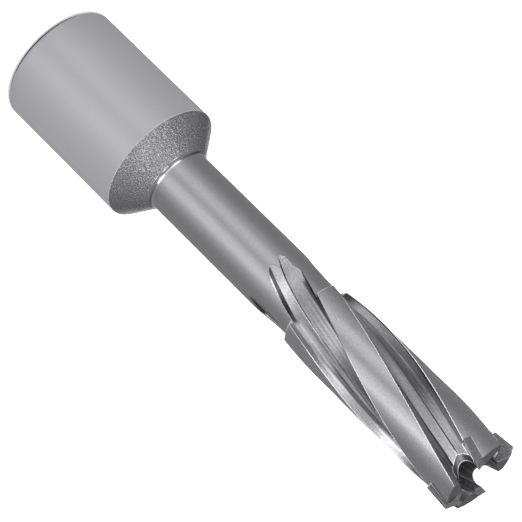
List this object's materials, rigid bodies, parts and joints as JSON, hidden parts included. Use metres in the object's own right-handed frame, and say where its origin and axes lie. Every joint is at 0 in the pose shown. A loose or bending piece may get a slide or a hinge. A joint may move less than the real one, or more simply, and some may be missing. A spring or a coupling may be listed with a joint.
{
  "type": "annular cutter",
  "caption": "Hollow annular cutter for holes in metal plate: plain drive shank, slim neck, right-hand helical flutes and carbide tips brazed round the crown.",
  "frame": {"origin": "centre of the shank's end face, on which the cutter stands", "axes": "+Z along the axis from the shank to the cutting tips; -Y towards the camera's side, the drive flats are on the +Y side"},
  "size_m": [0.019, 0.019, 0.0895],
  "materials": {
    "steel": "satin ground shank and neck, finely milled flutes",
    "carbide": "matt ground tungsten carbide"
  },
  "bodies": {
    "root": {"cutter_body": "steel", "carbide_tip_1": "carbide", "carbide_tip_2": "carbide", "carbide_tip_3": "carbide", "carbide_tip_4": "carbide"}
  },
  "joints": []
}
